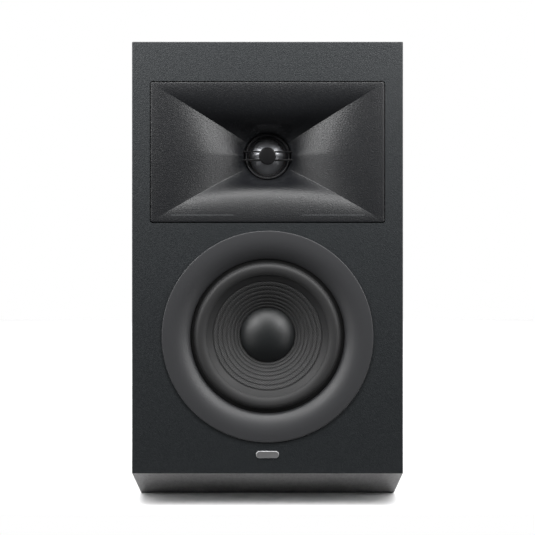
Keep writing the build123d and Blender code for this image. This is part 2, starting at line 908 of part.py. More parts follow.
def lying_can(radius, length, x, y):
    can = Rot(0, 90, 0) * Cylinder(radius, length)
    can = fillet(can.edges(), 0.8)
    return Pos(x, y, board_top + radius) * can


def crossover_capacitors():
    return join([lying_can(8.0, 32, 24, board_y - 9), lying_can(5.5, 22, -20, board_y - 24)])


def crossover_resistors():
    bars = []
    for x in (8, 31):
        bar = fillet(Box(20, 8, 8).edges(), 0.6)
        bars.append(Pos(x, board_y - 28, board_top + 4) * bar)
    return join(bars)


def wire(points, bend):
    """An insulated lead along straight runs joined by bends."""
    path = FilletPolyline(*points, radius=bend)
    start = Plane(origin=path @ 0, z_dir=path % 0)
    lead = sweep(start * Circle(wire_radius), path=path)
    runs = sum(edge.length for edge in path.edges())
    print(f"  lead {runs:.0f} mm, volume ratio {lead.volume / (runs * math.pi * wire_radius**2):.3f}")
    return lead


def input_leads():
    tag_y = rear_y - cup_depth - cup_floor - 15
    leads = []
    for x in post_places().values():
        end_y = board_y + board_depth / 2 - 8
        points = [
            (x, tag_y, cup_z),
            (x, tag_y - 12, cup_z),
            (x * 0.8, end_y + 2, cup_z - 24),
            (x * 0.5, end_y, board_top + 16),
            (x * 0.5, end_y, board_top),
        ]
        leads.append(wire(points, 9))
    return join(leads)


def woofer_leads():
    leads = []
    z = woofer_z + 49.2
    y = front_y + spider_depth + 10.3
    for x in (-5, 5):
        points = [
            (x, y, z),
            (x, y + 32, z),
            (x * 1.6, y + 44, z - 34),
            (x * 2.2 - 2, board_y + 4, z - 75),
            (x * 2.2 - 2, board_y + 4, board_top + 34),
            (x * 0.8 - 2, board_y + 2, board_top + 14),
            (x * 0.8 - 2, board_y + 2, board_top),
        ]
        leads.append(wire(points, 8))
    return join(leads)


def tweeter_leads():
    leads = []
    z = horn_z - face_radius + 1.4
    y = front_y + face_back + 7
    for x in (-4, 4):
        points = [
            (x, y, z),
            (x, y + 12, z),
            (x + 2, y + 38, z - 22),
            (x + 4, board_y - 34, z - 60),
            (x + 6, board_y + 14, z - 100),
            (x + 8, board_y + 22, board_top + 30),
            (x + 8, board_y + 22, board_top),
        ]
        leads.append(wire(points, 10))
    return join(leads)


cabinet_outside = envelope()

save("front_baffle", front_baffle())
save("chin_panel", strip(0))
save("bottom_panel", strip(1))
save("top_panel", strip(3))
save("left_side_panel", side_panel(-1))
save("right_side_panel", side_panel(1))
save("rear_panel", rear_panel() & cabinet_outside)
save("shelf_brace", shelf_brace())
save("damping_wadding", damping_wadding())
save("name_badge", name_badge())

save("waveguide", waveguide())
save("waveguide_screws", waveguide_screws())
save("tweeter_bridge", tweeter_bridge())
save("tweeter_faceplate", tweeter_faceplate())
save("tweeter_surround", tweeter_surround())
save("tweeter_dome", tweeter_dome())
save("tweeter_voice_coil", tweeter_voice_coil())
save("tweeter_top_plate", tweeter_top_plate())
save("tweeter_magnet", tweeter_magnet())
save("tweeter_yoke", tweeter_yoke())
save("tweeter_rear_chamber", tweeter_rear_chamber())
save("tweeter_terminals", tweeter_terminals())
save("tweeter_screws", tweeter_screws())

save("woofer_trim_ring", woofer_trim_ring())
save("woofer_basket", woofer_basket())
save("woofer_gasket", woofer_gasket())
save("woofer_surround", woofer_surround())
save("woofer_cone", woofer_cone())
save("woofer_dust_cap", woofer_dust_cap())
save("woofer_coil_former", woofer_coil_former())
save("woofer_voice_coil", woofer_voice_coil())
save("woofer_spider", woofer_spider())
save("woofer_top_plate", woofer_top_plate())
save("woofer_magnet", woofer_magnet())
save("woofer_yoke", woofer_yoke())
save("woofer_terminal_strip", woofer_terminal_strip())
save("woofer_screws", woofer_screws())

save("port_tube", port_tube())
save("terminal_cup", terminal_cup())
save("terminal_cup_screws", terminal_cup_screws())
save("post_collars", post_collars())
save("post_nuts", post_nuts())
for pole, pole_x in post_places().items():
    save(f"{pole}_post", binding_post(pole_x))
    save(f"{pole}_clamp_washer", clamp_washer(pole_x))
    save(f"{pole}_knob", binding_knob(pole_x))

save("crossover_board", crossover_board())
save("crossover_standoffs", crossover_standoffs())
save("woofer_inductor", woofer_inductor())
save("tweeter_inductor", tweeter_inductor())
save("crossover_capacitors", crossover_capacitors())
save("crossover_resistors", crossover_resistors())
save("input_leads", input_leads())
save("woofer_leads", woofer_leads())
save("tweeter_leads", tweeter_leads())
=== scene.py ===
import itertools
import math

import bmesh
import bpy
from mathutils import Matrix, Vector


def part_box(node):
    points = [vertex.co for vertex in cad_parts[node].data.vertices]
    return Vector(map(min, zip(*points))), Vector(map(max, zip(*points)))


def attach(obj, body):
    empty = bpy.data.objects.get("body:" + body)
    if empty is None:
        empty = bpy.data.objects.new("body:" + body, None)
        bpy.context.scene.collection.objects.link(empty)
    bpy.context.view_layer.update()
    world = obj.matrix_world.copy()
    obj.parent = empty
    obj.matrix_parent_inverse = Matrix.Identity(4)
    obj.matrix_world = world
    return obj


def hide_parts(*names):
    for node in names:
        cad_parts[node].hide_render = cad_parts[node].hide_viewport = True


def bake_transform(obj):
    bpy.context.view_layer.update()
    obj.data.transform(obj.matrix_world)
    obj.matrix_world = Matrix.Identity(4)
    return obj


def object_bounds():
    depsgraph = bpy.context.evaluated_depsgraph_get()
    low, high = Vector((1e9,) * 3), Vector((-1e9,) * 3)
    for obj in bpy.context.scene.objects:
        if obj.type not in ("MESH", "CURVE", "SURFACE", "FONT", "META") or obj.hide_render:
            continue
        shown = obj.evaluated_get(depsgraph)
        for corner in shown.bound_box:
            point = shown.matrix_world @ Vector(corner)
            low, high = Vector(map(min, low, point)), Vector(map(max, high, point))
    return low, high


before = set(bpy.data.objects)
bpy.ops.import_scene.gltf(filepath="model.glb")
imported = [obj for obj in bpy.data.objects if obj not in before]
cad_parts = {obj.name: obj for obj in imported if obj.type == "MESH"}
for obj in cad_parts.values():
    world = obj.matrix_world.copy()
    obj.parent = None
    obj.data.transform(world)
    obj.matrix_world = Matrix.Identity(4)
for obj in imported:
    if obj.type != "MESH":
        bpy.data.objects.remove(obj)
cad_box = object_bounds()
mm = 0.001

# ---- studio ----
# A pale floor in a white surround. One wide soft light hangs above the front, and pairs stand high, level and
# low at its sides. A pair behind shows the rear panel, and a large light far behind brightens the floor. The
# camera looks level and straight at the front.
front_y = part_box("front_baffle")[0].y / mm
cabinet_height = cad_box[1].z / mm
camera_distance = 750
camera_height = 0.516 * cabinet_height
camera_lens = 72.06


def put(name, data):
    """Add an object to the scene."""
    thing = bpy.data.objects.new(name, data)
    bpy.context.scene.collection.objects.link(thing)
    return thing


camera = put("camera", bpy.data.cameras.new("camera"))
camera.data.lens = camera_lens
camera.location = Vector((0, front_y - camera_distance, camera_height)) * mm
camera.rotation_euler = (math.pi / 2, 0, 0)
bpy.context.scene.camera = camera
bpy.context.scene.view_settings.view_transform = "Standard"


def soft_light(name, place, aim, wide, tall, power):
    """A rectangular soft light, in millimetres and watts."""
    lamp = put(name, bpy.data.lights.new(name, "AREA"))
    lamp.data.shape = "RECTANGLE"
    lamp.data.size = wide * mm
    lamp.data.size_y = tall * mm
    lamp.data.energy = power
    lamp.location = Vector(place) * mm
    lamp.rotation_euler = (Vector(aim) - Vector(place)).to_track_quat("-Z", "Y").to_euler()
    lamp.visible_camera = False


chest = (0, front_y, 0.6 * cabinet_height)
soft_light("overhead_light", (0, front_y - 215, 610), (0, front_y, 0.7 * cabinet_height), 440, 150, 2.7)
soft_light("floor_light", (0, 1500, 2600), (0, 1500, 0), 3600, 3000, 140)
for side in (-1, 1):
    lean = 1 + 0.05 * side
    soft_light(f"shoulder_light_{side + 1}", (side * 230, front_y - 310, 540), chest, 200, 160, 0.4)
    soft_light(f"upper_light_{side + 1}", (side * 440, front_y - 370, 520), chest, 320, 220, 2.6)
    soft_light(f"side_light_{side + 1}", (side * 840, front_y - 560, 380), chest, 300, 400, 1.75 * lean)
    soft_light(f"low_light_{side + 1}", (side * 840, front_y - 560, -160), chest, 300, 400, 0.75 * lean)
    soft_light(f"wing_light_{side + 1}", (side * 900, front_y - 300, 330), chest, 300, 300, 1.7 * lean)
    soft_light(f"rear_light_{side + 1}", (side * 700, 900, 700), (0, 0, 150), 600, 600, 5)

ambient = 0.085
surround = bpy.data.worlds.new("surround")
bpy.context.scene.world = surround
surround.use_nodes = True
sky = surround.node_tree.nodes["Background"]
seen = surround.node_tree.nodes.new("ShaderNodeLightPath")
glow = surround.node_tree.nodes.new("ShaderNodeMath")
glow.operation = "MULTIPLY_ADD"
glow.inputs[1].default_value = 1 - ambient
glow.inputs[2].default_value = ambient
surround.node_tree.links.new(seen.outputs["Is Camera Ray"], glow.inputs[0])
surround.node_tree.links.new(glow.outputs[0], sky.inputs["Strength"])
sky.inputs["Color"].default_value = (1, 1, 1, 1)


class Value:
    """One output inside a finish. Arithmetic on it adds the Math nodes."""

    def __init__(self, finish, socket):
        self.finish = finish
        self.socket = socket

    def math(self, operation, first, second=0.0):
        return self.finish.add("ShaderNodeMath", {"operation": operation}, {0: first, 1: second})

    def __add__(self, other):
        return self.math("ADD", self, other)

    def __sub__(self, other):
        return self.math("SUBTRACT", self, other)

    def __rsub__(self, other):
        return self.math("SUBTRACT", other, self)

    def __mul__(self, other):
        return self.math("MULTIPLY", self, other)

    def __pow__(self, other):
        return self.math("POWER", self, other)

    def __gt__(self, other):
        return self.math("GREATER_THAN", self, other)

    def sine(self):
        return self.math("SINE", self)

    __radd__ = __add__
    __rmul__ = __mul__


class Finish:
    """A surface finish: a Principled shader with constants, and nodes for what changes over the surface."""

    def __init__(self, name, colour, roughness, constants=None):
        self.material = bpy.data.materials.new(name)
        self.material.use_nodes = True
        self.tree = self.material.node_tree
        self.shader = self.tree.nodes["Principled BSDF"]
        self.colour = (*colour, 1)
        self.shader.inputs["Base Color"].default_value = self.colour
        self.shader.inputs["Roughness"].default_value = roughness
        for socket, value in (constants or {}).items():
            self.shader.inputs[socket].default_value = value
        spot = self.add("ShaderNodeTexCoord", {}, {}, "Object")
        self.place = self.add("ShaderNodeVectorMath", {"operation": "SCALE"}, {0: spot, "Scale": 1 / mm})

    def add(self, kind, settings, sockets, output=0):
        """Any node: its settings first, then the values or links of its sockets."""
        node = self.tree.nodes.new(kind)
        for setting, value in settings.items():
            setattr(node, setting, value)
        for socket, value in sockets.items():
            if isinstance(value, Value):
                self.tree.links.new(value.socket, node.inputs[socket])
            else:
                node.inputs[socket].default_value = value
        return Value(self, node.outputs[output])

    def feed(self, socket, value):
        """Let a value drive one socket of the shader."""
        self.tree.links.new(value.socket, self.shader.inputs[socket])

    def stretched(self, x, y, z):
        """The place in millimetres, multiplied along each axis."""
        return self.add("ShaderNodeVectorMath", {"operation": "MULTIPLY"}, {0: self.place, 1: (x, y, z)})

    def along(self, axis):
        """One coordinate in millimetres."""
        return self.add("ShaderNodeSeparateXYZ", {}, {0: self.place}, axis)

    def noise(self, grain, detail=2.0, place=None):
        """Soft noise from 0 to 1, whose blotches are about grain millimetres wide."""
        sockets = {"Vector": place or self.place, "Scale": 1 / grain, "Detail": detail}
        return self.add("ShaderNodeTexNoise", {}, sockets)

    def cells(self, grain):
        """Distance to the nearest of scattered points, about grain millimetres apart."""
        return self.add("ShaderNodeTexVoronoi", {}, {"Vector": self.place, "Scale": 1 / grain})

    def steps(self, value, low, high):
        """Stretch a value so that low becomes 0 and high becomes 1."""
        return self.add("ShaderNodeMapRange", {}, {0: value, 1: low, 2: high})

    def blend(self, share, first, second):
        """A colour between two colours, which a Mix node has at sockets 6 and 7 and output 2."""
        return self.add("ShaderNodeMix", {"data_type": "RGBA"}, {0: share, 6: first, 7: second}, 2)

    def tint(self, share, other):
        """Vary the finish's own colour towards another."""
        self.feed("Base Color", self.blend(share, self.colour, (*other, 1)))

    def relief(self, height, depth):
        """Raise the surface by height, where 1 is depth millimetres."""
        bump = self.add("ShaderNodeBump", {}, {"Height": height, "Distance": depth * mm, "Strength": 1.0})
        self.feed("Normal", bump)

    def cover(self, *nodes):
        """Give CAD nodes this finish."""
        for node in nodes:
            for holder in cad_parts[node].material_slots:
                holder.material = self.material


floor_finish = Finish("floor_paper", (0.86, 0.86, 0.86), 0.9, {"Specular IOR Level": 0.1})
floor_finish.tint(floor_finish.noise(400), (0.84, 0.84, 0.845))
floor_side = 1600
floor_front = front_y - 16
floor_back = 2600
floor_corners = [(-1, floor_front), (1, floor_front), (1, floor_back), (-1, floor_back)]
floor_mesh = bpy.data.meshes.new("floor")
floor_points = [Vector((side * floor_side, y, 0)) * mm for side, y in floor_corners]
floor_mesh.from_pydata(floor_points, [], [(0, 1, 2, 3)])
floor_mesh.materials.append(floor_finish.material)
put("floor", floor_mesh)

# ---- front baffle ----
# The board that carries both drivers. It is fibreboard under a black film that is embossed with a fine
# pebble grain, and its edges are mitred to the side, top and chin panels.
pebbled_film = Finish("pebbled_film", (0.0068, 0.0084, 0.0098), 0.47, {"Specular IOR Level": 0.36})
pebbles = pebbled_film.noise(0.75, 2.0)
pebbled_film.tint(pebbled_film.steps(pebbles, 0.35, 0.7), (0.0130, 0.0153, 0.0170))
pebbled_film.feed("Roughness", 0.38 + 0.2 * pebbles)
pebbled_film.relief(pebbles + 0.5 * pebbled_film.cells(0.7), 0.13)
pebbled_film.cover("front_baffle")

# ---- wrapped panels ----
# The sides, top, bottom and the sloping chin are fibreboard wrapped in a dark wood-grain vinyl. Its grain
# runs from front to back in long streaks, with open pores pressed into the film.
grain_vinyl = Finish("grain_vinyl", (0.027, 0.027, 0.0275), 0.42, {"Specular IOR Level": 1.0})
wander = grain_vinyl.noise(60, 2.0)
figure = grain_vinyl.noise(2.4, 4.0, grain_vinyl.stretched(1, 0.045, 1))
pores = grain_vinyl.noise(0.8, 2.0, grain_vinyl.stretched(1, 0.06, 1))
streaks = grain_vinyl.steps(figure + 0.25 * wander, 0.42, 0.85)
open_pores = grain_vinyl.steps(pores, 0.60, 0.68)
grain_vinyl.tint(streaks, (0.085, 0.0845, 0.084))
grain_vinyl.feed("Roughness", 0.48 + 0.12 * figure + 0.15 * open_pores)
grain_vinyl.relief(0.4 * figure + 1 - open_pores, 0.07)
grain_vinyl.cover("chin_panel", "bottom_panel", "top_panel", "left_side_panel", "right_side_panel")

# ---- rear panel, brace and wadding ----
# The rear board has a plain black film. The windowed brace inside is bare fibreboard, and pads of polyester
# wadding lie along the side walls to take up the sound inside.
rear_film = Finish("rear_film", (0.026, 0.026, 0.027), 0.58)
rear_film.feed("Roughness", 0.5 + 0.15 * rear_film.noise(9))
rear_film.relief(rear_film.cells(1.4), 0.06)
rear_film.cover("rear_panel")

bare_board = Finish("bare_board", (0.33, 0.22, 0.13), 0.85, {"Specular IOR Level": 0.2})
fibres = bare_board.noise(0.7, 5.0)
bare_board.tint(bare_board.steps(fibres, 0.3, 0.75), (0.22, 0.14, 0.08))
bare_board.relief(fibres, 0.08)
bare_board.cover("shelf_brace")


def solid(name, points, faces, crease=35):
    """A smooth-shaded mesh object from points in millimetres, creased where its faces turn sharply."""
    mesh = bpy.data.meshes.new(name)
    mesh.from_pydata([Vector(point) * mm for point in points], [], faces)
    work = bmesh.new()
    work.from_mesh(mesh)
    bmesh.ops.remove_doubles(work, verts=work.verts, dist=1e-6)
    bmesh.ops.recalc_face_normals(work, faces=work.faces)
    work.to_mesh(mesh)
    work.free()
    mesh.shade_smooth()
    mesh.set_sharp_from_angle(angle=math.radians(crease))
    return put(name, mesh)


def dress(piece, finish, slot, body, *nodes):
    """Give a piece its finish, and make it ride on a body in place of CAD nodes."""
    piece.data.materials.append(finish.material)
    if body:
        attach(piece, body)
    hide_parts(*nodes)


def pillow(low, high, cells, puff, fuzz):
    """A pad's points and faces: a box whose faces swell by puff and whose skin wavers by fuzz."""
    points, faces = [], []
    index = {}
    for spot in itertools.product(*(range(count + 1) for count in cells)):
        if all(0 < n < count for n, count in zip(spot, cells)):
            continue
        share = [n / count for n, count in zip(spot, cells)]
        point = [a + (b - a) * s for a, b, s in zip(low, high, share)]
        crown = [math.sin(math.pi * s) for s in share]
        for axis in range(3):
            others = crown[(axis + 1) % 3] * crown[(axis + 2) % 3]
            point[axis] += (2 * share[axis] - 1) * puff * (others**0.5 - 1)
        y, z = point[1:]
        wave = math.sin(y * 0.31 + z * 0.17) + math.sin(z * 0.41 - y * 0.23)
        point[0] += fuzz * wave * (crown[1] * crown[2]) ** 0.3
        index[spot] = len(points)
        points.append(point)
    for axis in range(3):
        u, v = (axis + 1) % 3, (axis + 2) % 3
        for end, a, b in itertools.product((0, cells[axis]), range(cells[u]), range(cells[v])):
            corners = []
            for da, db in ((0, 0), (1, 0), (1, 1), (0, 1)):
                spot = [0, 0, 0]
                spot[axis], spot[u], spot[v] = end, a + da, b + db
                corners.append(index[tuple(spot)])
            faces.append(corners)
    return points, faces


soft_fibre = {"Specular IOR Level": 0.1, "Sheen Weight": 0.5}
wadding_finish = Finish("polyester_wadding", (0.78, 0.78, 0.76), 0.95, soft_fibre)
tufts = wadding_finish.noise(6, 6.0)
wadding_finish.tint(tufts, (0.60, 0.60, 0.58))
wadding_finish.relief(tufts, 1.2)
pad_thickness = 15
pad_margin = 1
wall_gap = 0.4
shelf_gap = 4
pad_low, pad_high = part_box("damping_wadding")
shelf_low, shelf_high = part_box("shelf_brace")
pad_points, pad_faces = [], []
for side in (-1, 1):
    outer = side * (pad_high.x / mm - wall_gap)
    inner = outer - side * pad_thickness
    under_shelf = (pad_low.z / mm, shelf_low.z / mm - shelf_gap)
    over_shelf = (shelf_high.z / mm + shelf_gap, pad_high.z / mm)
    for bottom, top in (under_shelf, over_shelf):
        low = (min(outer, inner), pad_low.y / mm + pad_margin, bottom + pad_margin)
        high = (max(outer, inner), pad_high.y / mm - pad_margin, top - pad_margin)
        points, faces = pillow(low, high, cells=(4, 32, 30), puff=2.5, fuzz=0.35)
        pad_faces += [[corner + len(pad_points) for corner in face] for face in faces]
        pad_points += points
wadding = solid("damping_wadding_pads", pad_points, pad_faces, 180)
dress(wadding, wadding_finish, "wadding", "cabinet", "damping_wadding")

# ---- waveguide ----
# The tweeter's horn is one black moulding with a fine spark-eroded texture. Four walls sweep from an oblong
# mouth to the round throat, bowed or folded inward on the way, and meet in four crisp ridges. Its screws
# enter six bosses behind the plate.
horn_low, horn_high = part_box("waveguide")
horn_z = (horn_low.z + horn_high.z) / 2 / mm
plate_half = [(horn_high.x - horn_low.x) / 2 / mm, (horn_high.z - horn_low.z) / 2 / mm]
plate_thickness = 4.0
plate_corner = 1.4
rim = 1.6
horn_depth = 24.0
throat_run = 6.0
throat_depth = 31.5
throat_power = 8
throat_radius = 17.2
ridge_angle = math.radians(31.5)
throat_corner = (throat_radius * math.cos(ridge_angle), throat_radius * math.sin(ridge_angle))
round_off = 14
side_fold = 0.215
fold_reach = 9.0
fold_end = 0.2
lip_bow = 4.4
crease_height = 6
crease_spread = 2.2
wall_sideways = 3.0
wall_backward = 1.4
throat_flange = 36.0
flange_front = throat_depth - 4.5
flat_enough = 1e-4
ridge_soft = 0.3
side_points = 49
corner_points = 4
# Shares along a wall from -1 to 1, closest together beside the ridges.
spread = [-math.cos(math.pi * k / (side_points - 1)) for k in range(side_points)]


def arc(half, foot, top, share):
    """Where an arc over a chord is at a share from -1 to 1: the place along the chord, and the height."""
    rise = top - foot
    if abs(rise) < flat_enough:
        return half * share, foot
    radius = (half**2 + rise**2) / (2 * rise)
    swing = math.asin(half / radius) * share
    return radius * math.sin(swing), top - radius + radius * math.cos(swing)


def horn_place(share):
    """The depth at a share of the flare: it opens slowly near the throat."""
    return horn_depth * share**2 + throat_run * share**throat_power


def smooth(share):
    """Ease from 0 to 1 without a kink at either end."""
    share = min(1.0, max(0.0, share))
    return share * share * (3 - 2 * share)


def horn_corner(share, grow=0.0):
    """The corner of the horn's cross-section at a share of its flare."""
    return [(half - rim) * (1 - share) + end * share + grow for half, end in zip(plate_half, throat_corner)]


def around_walls(depth, top_wall, side_wall):
    """One closed loop round the horn, from the curves of its top wall and its right wall."""
    loop = [top_wall(k) for k in range(side_points)]
    loop += [side_wall(k)[::-1] for k in reversed(range(side_points))]
    loop += [(-x, -z) for x, z in loop]
    return [(x, front_y + depth, horn_z + z) for x, z in loop]


def top_middle(share, corner_z):
    """The height of the top wall's middle over the horn's axis: it bows inward most halfway."""
    bow = (4 * share * (1 - share)) ** 2
    return corner_z + (throat_radius - throat_corner[1]) * share**2 - lip_bow * bow


def horn_loop(share, depth, grow=0.0):
    """One cross-section: bowed top and bottom, side walls folded along their middles, round at the throat."""
    corner_x, corner_z = horn_corner(share, grow)
    top = top_middle(share, corner_z)
    side = corner_x + (throat_radius - throat_corner[0]) * share**round_off
    fold = side_fold * smooth(2 * share) * (1 - share**round_off)
    fold_soft = fold_reach * (1 - share) + fold_end
    crease = crease_height * share**4 * (1 - share)

    def top_wall(k):
        return arc(corner_x, corner_z, top, spread[k] * (1 - ridge_soft / corner_x))

    def side_wall(k):
        z, x = arc(corner_z, corner_x, side, spread[k] * (1 - ridge_soft / corner_z))
        x -= fold * (math.hypot(corner_z, fold_soft) - math.hypot(z, fold_soft))
        return z, x - crease * math.exp(-abs(z) / crease_spread)

    return around_walls(depth, top_wall, side_wall)


def plate_loop(depth, inset):
    """The plate's outline with its rounded corners."""

    def wall(half, reach, k):
        from_end = min(k, side_points - 1 - k)
        side = -1 if k < side_points / 2 else 1
        radius = plate_corner - inset
        if from_end >= corner_points:
            return (half - inset) * spread[k], reach - inset
        turn = math.pi / 4 * (1 - from_end / (corner_points - 1))
        bend = half - plate_corner + radius * math.sin(turn)
        return side * bend, reach - plate_corner + radius * math.cos(turn)

    return around_walls(
        depth,
        lambda k: wall(plate_half[0], plate_half[1], k),
        lambda k: wall(plate_half[1], plate_half[0], k),
    )


def ring_round(loop, radius, depth):
    """The throat's loop moved to another radius and depth."""
    grow = radius / throat_radius
    return [(x * grow, front_y + depth, horn_z + (z - horn_z) * grow) for x, y, z in loop]


def strip(low, high, count):
    """Faces between two loops of equally many points, from the first point of each."""
    afters = [(k + 1) % count for k in range(count)]
    return [(low + k, low + after, high + after, high + k) for k, after in enumerate(afters)]


def skin(loops):
    """Points and faces through loops of equal length, where the last loop joins the first."""
    count = len(loops[0])
    points = [point for loop in loops for point in loop]
    faces = []
    for row in range(len(loops)):
        faces += strip(row * count, (row + 1) % len(loops) * count, count)
    return points, faces


def bar(points, faces, loops):
    """Add a bar to a mesh, through loops of equal length and closed at both ends."""
    start = len(points)
    count = len(loops[0])
    points += [point for loop in loops for point in loop]
    last = len(points) - count
    for low in range(start, last, count):
        faces += strip(low, low + count, count)
    faces += [tuple(range(start, start + count)), tuple(range(last, last + count))]


edge_round = 0.4
edge_steps = 4
horn_steps = 56
loops = [plate_loop(plate_thickness, 0)]
for k in range(edge_steps + 1):
    turn = math.pi / 2 * k / edge_steps
    loops.append(plate_loop(edge_round * (1 - math.sin(turn)), edge_round * (1 - math.cos(turn))))
for k in range(horn_steps + 1):
    share = k / horn_steps
    loops.append(horn_loop(share, horn_place(share)))
throat_loop = loops[-1]
loops.append(ring_round(throat_loop, throat_radius, throat_depth))
loops.append(ring_round(throat_loop, throat_flange, throat_depth))
loops.append(ring_round(throat_loop, throat_flange, flange_front))
outside_steps = 15
deepest = 0.95
shallowest = math.sqrt((plate_thickness - wall_backward) / horn_depth)
for k in range(outside_steps + 1):
    share = deepest + (shallowest - deepest) * k / outside_steps
    loops.append(horn_loop(share, horn_place(share) + wall_backward, wall_sideways))
points, faces = skin(loops)

boss_x = 74.5
boss_z = 45.3
boss_radius = 3.6
boss_ends = (plate_thickness - 0.5, plate_thickness + 6.0)
boss_turns = [2 * math.pi * k / 32 for k in range(32)]
boss_rim = [(boss_radius * math.cos(turn), boss_radius * math.sin(turn)) for turn in boss_turns]
for x, z in itertools.product((-boss_x, 0, boss_x), (horn_z - boss_z, horn_z + boss_z)):
    bar(points, faces, [[(x + a, front_y + end, z + b) for a, b in boss_rim] for end in boss_ends])
waveguide = solid("waveguide_moulding", points, faces, 50)

spark_plastic = Finish("spark_plastic", (0.0022, 0.0027, 0.0038), 0.40, {"Specular IOR Level": 0.5})
sparks = spark_plastic.noise(0.7, 3.0)
spark_plastic.feed("Roughness", 0.35 + 0.12 * spark_plastic.noise(1.6, 2.0))
spark_plastic.relief(sparks, 0.19)
dress(waveguide, spark_plastic, "waveguide_plastic", "cabinet", "waveguide")

# ---- lines on the waveguide's lower lip ----
# Two thin grey lines are pad-printed on the lower wall near its lip, left and right of a bare middle. The ink
# lies on the moulding and follows the wall's bow.
line_low = 43.9
line_height = 0.4
line_start = 24.0
line_end = 68.0
line_proud = 0.05
line_steps = 44


def lip_depth(x, drop):
    """Depth of the lower wall at a distance from the middle and a drop below the horn's axis, by halving."""
    low, high = 0.0, 0.9
    for _ in range(30):
        share = (low + high) / 2
        corner_x, corner_z = horn_corner(share)
        top = top_middle(share, corner_z)
        rise = top - corner_z
        radius = (corner_x**2 + rise**2) / (2 * rise) if abs(rise) > flat_enough else 1e6
        wall_drop = top - radius + math.copysign(math.sqrt(radius**2 - x**2), radius)
        if wall_drop > drop:
            low = share
        else:
            high = share
    return horn_place(low)


def line_section(x):
    """The line's four corners at one place along it."""
    heights = (0, line_height, line_height, 0)
    stands = (line_proud, line_proud, -line_proud, -line_proud)
    drops = [line_low + height for height in heights]
    return [(x, front_y + lip_depth(x, drop) - stand, horn_z - drop) for drop, stand in zip(drops, stands)]


points, faces = [], []
for side in (-1, 1):
    shares = [k / line_steps for k in range(line_steps + 1)]
    places = [side * (line_start + (line_end - line_start) * share) for share in shares]
    bar(points, faces, [line_section(x) for x in places])
lines = solid("waveguide_lines", points, faces)
grey_ink = Finish("grey_ink", (0.05, 0.053, 0.056), 0.5)
grey_ink.feed("Roughness", 0.4 + 0.2 * grey_ink.noise(0.5))
dress(lines, grey_ink, "waveguide_plastic", "cabinet")

# ---- tweeter ----
# A 25 mm aluminium dome hangs in a small soft roll behind a black faceplate, whose lip stands round it in the
# horn's throat. A satin black bridge of two rails and a round disc crosses in front of the dome.


def turned(name, outline, z, steps=192, crease=35, start=0.0, share=1.0):
    """A closed outline of (radius, depth) points turned about a driver's axis, all the way or in part."""
    whole = share == 1.0
    columns = steps if whole else steps + 1
    loops = []
    for k in range(columns):
        turn = start + 2 * math.pi * share * k / steps
        loops.append([(r * math.cos(turn), front_y + d, z + r * math.sin(turn)) for r, d in outline])
    if whole:
        points, faces = skin(loops)
    else:
        points, faces = [], []
        bar(points, faces, loops)
    return solid(name, points, faces, crease)


def bow_line(radius, rise, base, steps):
    """A round cap's profile, from its rim to its middle."""
    ball = (radius**2 + rise**2) / (2 * rise)
    swing = math.asin(radius / ball)
    turns = [swing * (1 - k / steps) for k in range(steps + 1)]
    return [(ball * math.sin(t), base - rise + ball - ball * math.cos(t)) for t in turns]


def shell_line(radius, rise, base, thickness, steps):
    """The outline of a round cap of even thickness, whose inside rests on base."""
    return bow_line(radius, rise, base - thickness, steps) + bow_line(radius, rise, base, steps)[::-1]


dome_radius = 12.9
dome_base = throat_depth + 4.1
dome_rise = 4.8
dome_skin = 0.4
dome_outline = shell_line(dome_radius, dome_rise, dome_base, dome_skin, 40)
dome = turned("tweeter_dome_cap", dome_outline, horn_z, 160)
anodised = {"Metallic": 0.8, "Coat Weight": 0.5, "Coat Roughness": 0.10}
dome_metal = Finish("dome_aluminium", (0.26, 0.265, 0.28), 0.38, anodised)
spun = dome_metal.noise(3.0, 3.0)
dome_metal.feed("Roughness", 0.36 + 0.08 * spun)
dome_metal.tint(spun, (0.22, 0.225, 0.24))
dress(dome, dome_metal, "dome_metal", "tweeter_diaphragm", "tweeter_dome")

plate_back = throat_depth + 3.1
motor_front = throat_depth + 5.1
lip_middle = 15.9
lip_half = 0.9
lip_rise = 1.1
lip_steps = 12
plate_hole = 14.3
seat_inner = 18.0
seat_outer = 26.0
outline = [(throat_flange, throat_depth)]
for k in range(lip_steps + 1):
    turn = math.pi * k / lip_steps
    outline.append((lip_middle + lip_half * math.cos(turn), throat_depth - lip_rise * math.sin(turn)))
outline += [(plate_hole, plate_back), (seat_inner, plate_back), (seat_inner, motor_front)]
outline += [(seat_outer, motor_front), (seat_outer, plate_back), (throat_flange, plate_back)]
faceplate = turned("tweeter_faceplate_moulding", outline, horn_z)
gloss_plastic = Finish("faceplate_plastic", (0.011, 0.011, 0.012), 0.40, {"Specular IOR Level": 0.22})
gloss_plastic.feed("Roughness", 0.36 + 0.1 * gloss_plastic.noise(2.0, 3.0))
gloss_plastic.relief(gloss_plastic.noise(0.5), 0.01)
dress(faceplate, gloss_plastic, "faceplate_plastic", "cabinet", "tweeter_faceplate")

roll_cloth = Finish("soft_roll", (0.013, 0.013, 0.014), 0.6, {"Specular IOR Level": 0.2})
threads = roll_cloth.cells(0.3)
roll_cloth.feed("Roughness", 0.5 + 0.2 * threads)
roll_cloth.relief(threads, 0.03)
sectors = 12


def wedges(name, outline, z, steps, crease):
    """A ring cut into equal wedges about a driver's axis, each with the direction of its middle."""
    for k in range(sectors):
        turn = 2 * math.pi * k / sectors
        wedge = turned(f"{name}_{k + 1}", outline, z, steps, crease, turn, 1 / sectors)
        middle_turn = turn + math.pi / sectors
        yield wedge, Vector((math.cos(middle_turn), 0, math.sin(middle_turn))) * mm


